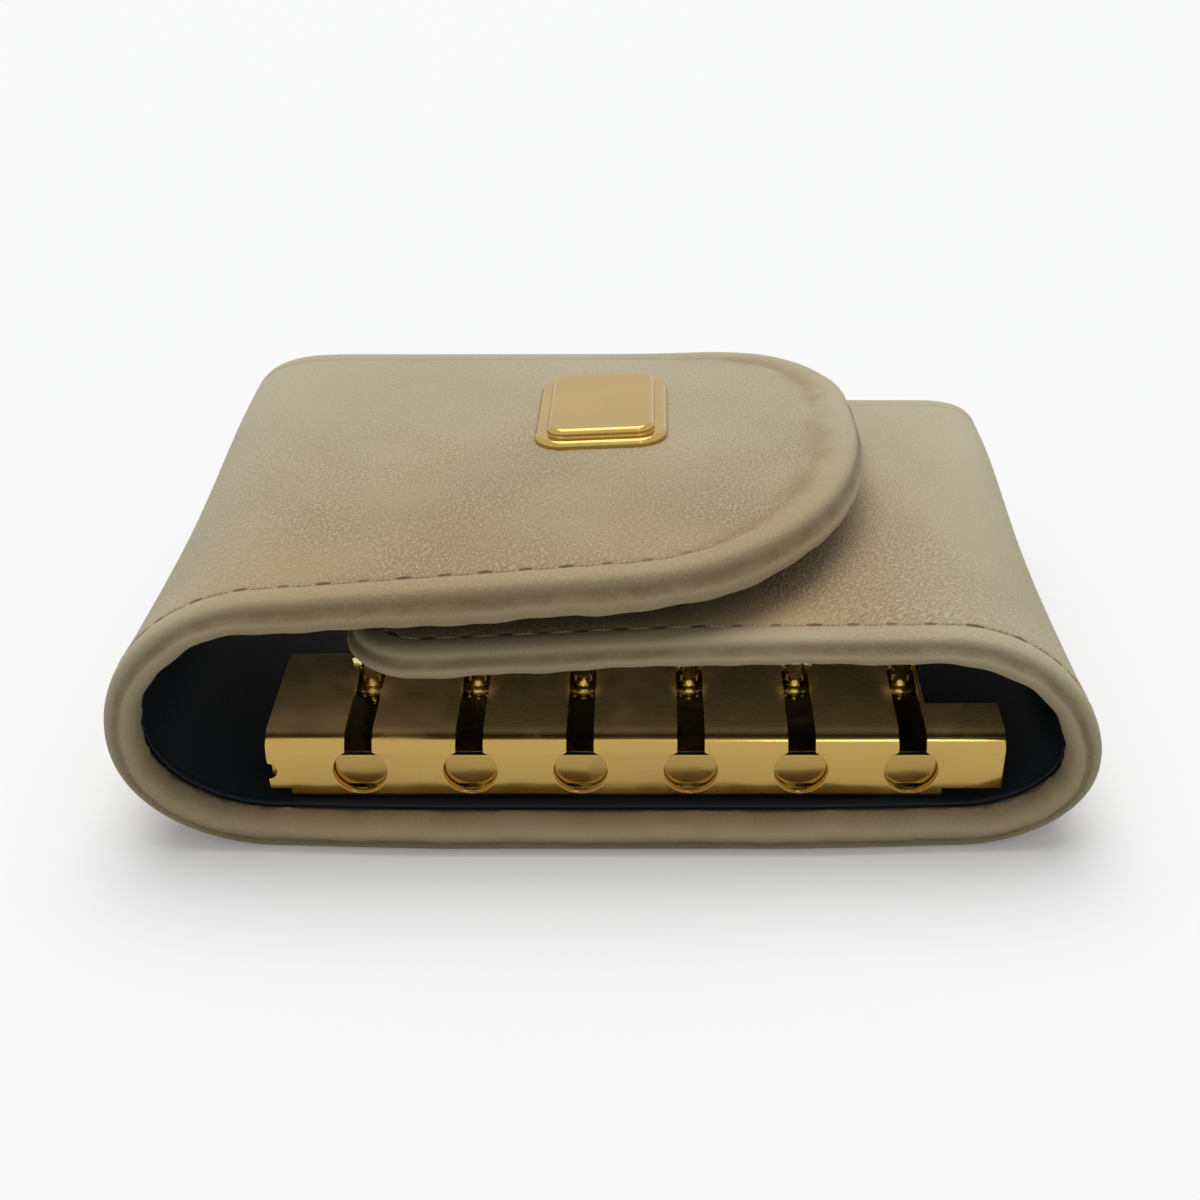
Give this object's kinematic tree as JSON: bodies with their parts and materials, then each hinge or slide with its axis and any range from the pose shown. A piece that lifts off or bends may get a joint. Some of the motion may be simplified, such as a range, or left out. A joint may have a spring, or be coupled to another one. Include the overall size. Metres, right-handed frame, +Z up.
{
  "type": "key case",
  "caption": "Folded leather key case, closed, with overlapping flaps, a hidden snap fastener, a plain gold plaque and a slotted gold key bar that carries swinging snap hooks.",
  "frame": {"origin": "bottom centre of the closed case, on the surface it lies on", "axes": "+X along the key bar, across the case; +Y from the open front, where the key bar shows, to the back; +Z up, out of the flaps"},
  "size_m": [0.1, 0.065, 0.0328],
  "materials": {
    "leather": "beige fine-grained leather with a soft satin sheen",
    "lining": "navy-black lining cloth",
    "padding": "soft fibre padding between leather and lining",
    "gold": "polished gold-plated brass",
    "steel": "spring steel"
  },
  "bodies": {
    "back_panel": {"outer_back_panel": "leather", "back_padding": "padding", "lining_back": "lining", "key_bar": "gold", "bar_rivets": "gold", "rivet_washers": "gold"},
    "left_fold": {"outer_left_fold": "leather", "left_fold_padding": "padding", "lining_left_fold": "lining"},
    "left_flap": {"outer_left_flap": "leather", "left_flap_padding": "padding", "lining_left_flap": "lining", "snap_cap": "steel", "snap_socket": "gold", "snap_spring": "steel", "plaque": "gold", "plaque_washers": "gold"},
    "right_fold": {"outer_right_fold": "leather", "right_fold_padding": "padding", "lining_right_fold": "lining"},
    "right_flap": {"outer_right_flap": "leather", "right_flap_padding": "padding", "lining_right_flap": "lining", "snap_stud": "gold", "snap_stud_post": "steel"},
    "lock_strip": {"lock_strip": "gold"},
    "carrier_1": {"hook_1_carrier": "gold"},
    "hook_1": {"hook_1": "gold"},
    "gate_1": {"hook_1_gate": "steel"},
    "carrier_2": {"hook_2_carrier": "gold"},
    "hook_2": {"hook_2": "gold"},
    "gate_2": {"hook_2_gate": "steel"},
    "carrier_3": {"hook_3_carrier": "gold"},
    "hook_3": {"hook_3": "gold"},
    "gate_3": {"hook_3_gate": "steel"},
    "carrier_4": {"hook_4_carrier": "gold"},
    "hook_4": {"hook_4": "gold"},
    "gate_4": {"hook_4_gate": "steel"},
    "carrier_5": {"hook_5_carrier": "gold"},
    "hook_5": {"hook_5": "gold"},
    "gate_5": {"hook_5_gate": "steel"},
    "carrier_6": {"hook_6_carrier": "gold"},
    "hook_6": {"hook_6": "gold"},
    "gate_6": {"hook_6_gate": "steel"}
  },
  "joints": [
    {"name": "left_fold_bend", "type": "hinge", "parent": "back_panel", "child": "left_fold", "pos_m": [-0.04546, -0.0325, 0.0043], "axis": [0, -0.9999, 0.0154], "range_deg": [0, 88.75]},
    {"name": "left_flap_bend", "type": "hinge", "parent": "left_fold", "child": "left_flap", "pos_m": [-0.04593, -0.0325, 0.02614], "axis": [0, -0.9999, 0.0154], "range_deg": [0, 88.75]},
    {"name": "right_fold_bend", "type": "hinge", "parent": "back_panel", "child": "right_fold", "pos_m": [0.04627, -0.0325, 0.00373], "axis": [0, 0.9999, -0.0154], "range_deg": [0, 40]},
    {"name": "right_flap_bend", "type": "hinge", "parent": "right_fold", "child": "right_flap", "pos_m": [0.04627, -0.0325, 0.02247], "axis": [0, 0.9999, -0.0154], "range_deg": [0, 40]},
    {"name": "lock_slide", "type": "slide", "parent": "back_panel", "child": "lock_strip", "axis": [1, 0, 0], "range_m": [0, 0.0055]},
    {"name": "hook_1_slide", "type": "slide", "parent": "back_panel", "child": "carrier_1", "axis": [0, -1, 0], "range_m": [0, 0.0055]},
    {"name": "hook_1_swing", "type": "hinge", "parent": "carrier_1", "child": "hook_1", "pos_m": [-0.02575, -0.0164, 0.0131], "axis": [1, 0, 0], "range_deg": [0, 15]},
    {"name": "hook_1_gate", "type": "hinge", "parent": "hook_1", "child": "gate_1", "pos_m": [-0.02785, -0.00824, 0.01224], "axis": [0, -0.1045, -0.9945], "range_deg": [0, 12], "stiffness_Nm_per_rad": 0.01},
    {"name": "hook_2_slide", "type": "slide", "parent": "back_panel", "child": "carrier_2", "axis": [0, -1, 0], "range_m": [0, 0.0055]},
    {"name": "hook_2_swing", "type": "hinge", "parent": "carrier_2", "child": "hook_2", "pos_m": [-0.01425, -0.0164, 0.0131], "axis": [1, 0, 0], "range_deg": [0, 15]},
    {"name": "hook_2_gate", "type": "hinge", "parent": "hook_2", "child": "gate_2", "pos_m": [-0.01635, -0.00824, 0.01224], "axis": [0, -0.1045, -0.9945], "range_deg": [0, 12], "stiffness_Nm_per_rad": 0.01},
    {"name": "hook_3_slide", "type": "slide", "parent": "back_panel", "child": "carrier_3", "axis": [0, -1, 0], "range_m": [0, 0.0055]},
    {"name": "hook_3_swing", "type": "hinge", "parent": "carrier_3", "child": "hook_3", "pos_m": [-0.00275, -0.0164, 0.0131], "axis": [1, 0, 0], "range_deg": [0, 15]},
    {"name": "hook_3_gate", "type": "hinge", "parent": "hook_3", "child": "gate_3", "pos_m": [-0.00485, -0.00824, 0.01224], "axis": [0, -0.1045, -0.9945], "range_deg": [0, 12], "stiffness_Nm_per_rad": 0.01},
    {"name": "hook_4_slide", "type": "slide", "parent": "back_panel", "child": "carrier_4", "axis": [0, -1, 0], "range_m": [0, 0.0055]},
    {"name": "hook_4_swing", "type": "hinge", "parent": "carrier_4", "child": "hook_4", "pos_m": [0.00875, -0.0164, 0.0131], "axis": [1, 0, 0], "range_deg": [0, 15]},
    {"name": "hook_4_gate", "type": "hinge", "parent": "hook_4", "child": "gate_4", "pos_m": [0.00665, -0.00824, 0.01224], "axis": [0, -0.1045, -0.9945], "range_deg": [0, 12], "stiffness_Nm_per_rad": 0.01},
    {"name": "hook_5_slide", "type": "slide", "parent": "back_panel", "child": "carrier_5", "axis": [0, -1, 0], "range_m": [0, 0.0055]},
    {"name": "hook_5_swing", "type": "hinge", "parent": "carrier_5", "child": "hook_5", "pos_m": [0.02025, -0.0164, 0.0131], "axis": [1, 0, 0], "range_deg": [0, 15]},
    {"name": "hook_5_gate", "type": "hinge", "parent": "hook_5", "child": "gate_5", "pos_m": [0.01815, -0.00824, 0.01224], "axis": [0, -0.1045, -0.9945], "range_deg": [0, 12], "stiffness_Nm_per_rad": 0.01},
    {"name": "hook_6_slide", "type": "slide", "parent": "back_panel", "child": "carrier_6", "axis": [0, -1, 0], "range_m": [0, 0.0055]},
    {"name": "hook_6_swing", "type": "hinge", "parent": "carrier_6", "child": "hook_6", "pos_m": [0.03175, -0.0164, 0.0131], "axis": [1, 0, 0], "range_deg": [0, 15]},
    {"name": "hook_6_gate", "type": "hinge", "parent": "hook_6", "child": "gate_6", "pos_m": [0.02965, -0.00824, 0.01224], "axis": [0, -0.1045, -0.9945], "range_deg": [0, 12], "stiffness_Nm_per_rad": 0.01}
  ],
  "couplings": [
    {"joint": "left_flap_bend", "follows": "left_fold_bend", "ratio": 1},
    {"joint": "right_fold_bend", "follows": "left_fold_bend", "ratio": 0.45},
    {"joint": "right_flap_bend", "follows": "left_fold_bend", "ratio": 0.45}
  ]
}
